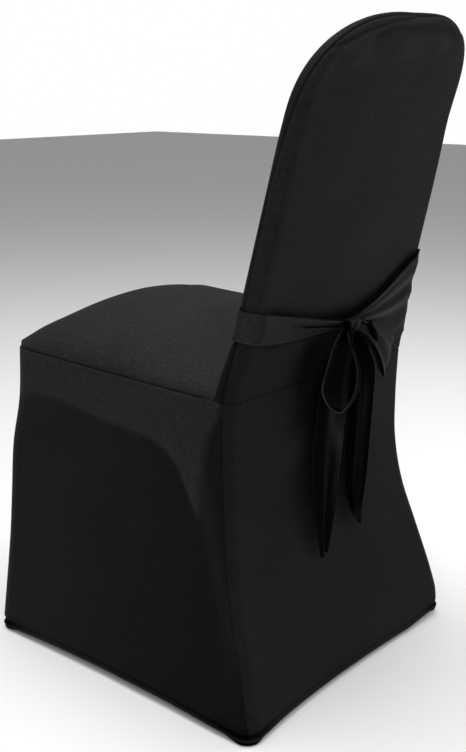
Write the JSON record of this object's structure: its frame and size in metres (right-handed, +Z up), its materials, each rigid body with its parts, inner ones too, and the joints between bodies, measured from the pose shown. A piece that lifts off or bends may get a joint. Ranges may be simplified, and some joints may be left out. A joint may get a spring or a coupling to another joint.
{
  "type": "chair cover",
  "caption": "Fitted stretch-cloth chair cover with foot pockets, a skirt to the floor and a sash tied in a bow behind the back.",
  "frame": {"origin": "on the floor, under the middle of the cover's bounding box", "axes": "+Z up, +Y towards the rear of the chair, where the bow is tied, +X towards the side that the picture shows"},
  "size_m": [0.5264, 0.5852, 0.9405],
  "materials": {
    "stretch_knit": "matt black stretch knit with a faint sheen",
    "sash_knit": "smooth black stretch knit, softly folded"
  },
  "bodies": {
    "root": {"front_skirt": "stretch_knit", "side_skirt_left": "stretch_knit", "side_skirt_right": "stretch_knit", "rear_skirt": "stretch_knit", "seat_panel": "stretch_knit", "back_panel": "stretch_knit", "inner_back_panel": "stretch_knit", "foot_pocket_front_left": "stretch_knit", "foot_pocket_front_right": "stretch_knit", "foot_pocket_rear_left": "stretch_knit", "foot_pocket_rear_right": "stretch_knit", "sash_band": "sash_knit", "sash_knot": "sash_knit", "loop_left": "sash_knit", "loop_right": "sash_knit", "tail_left": "sash_knit", "tail_right": "sash_knit"}
  },
  "joints": []
}
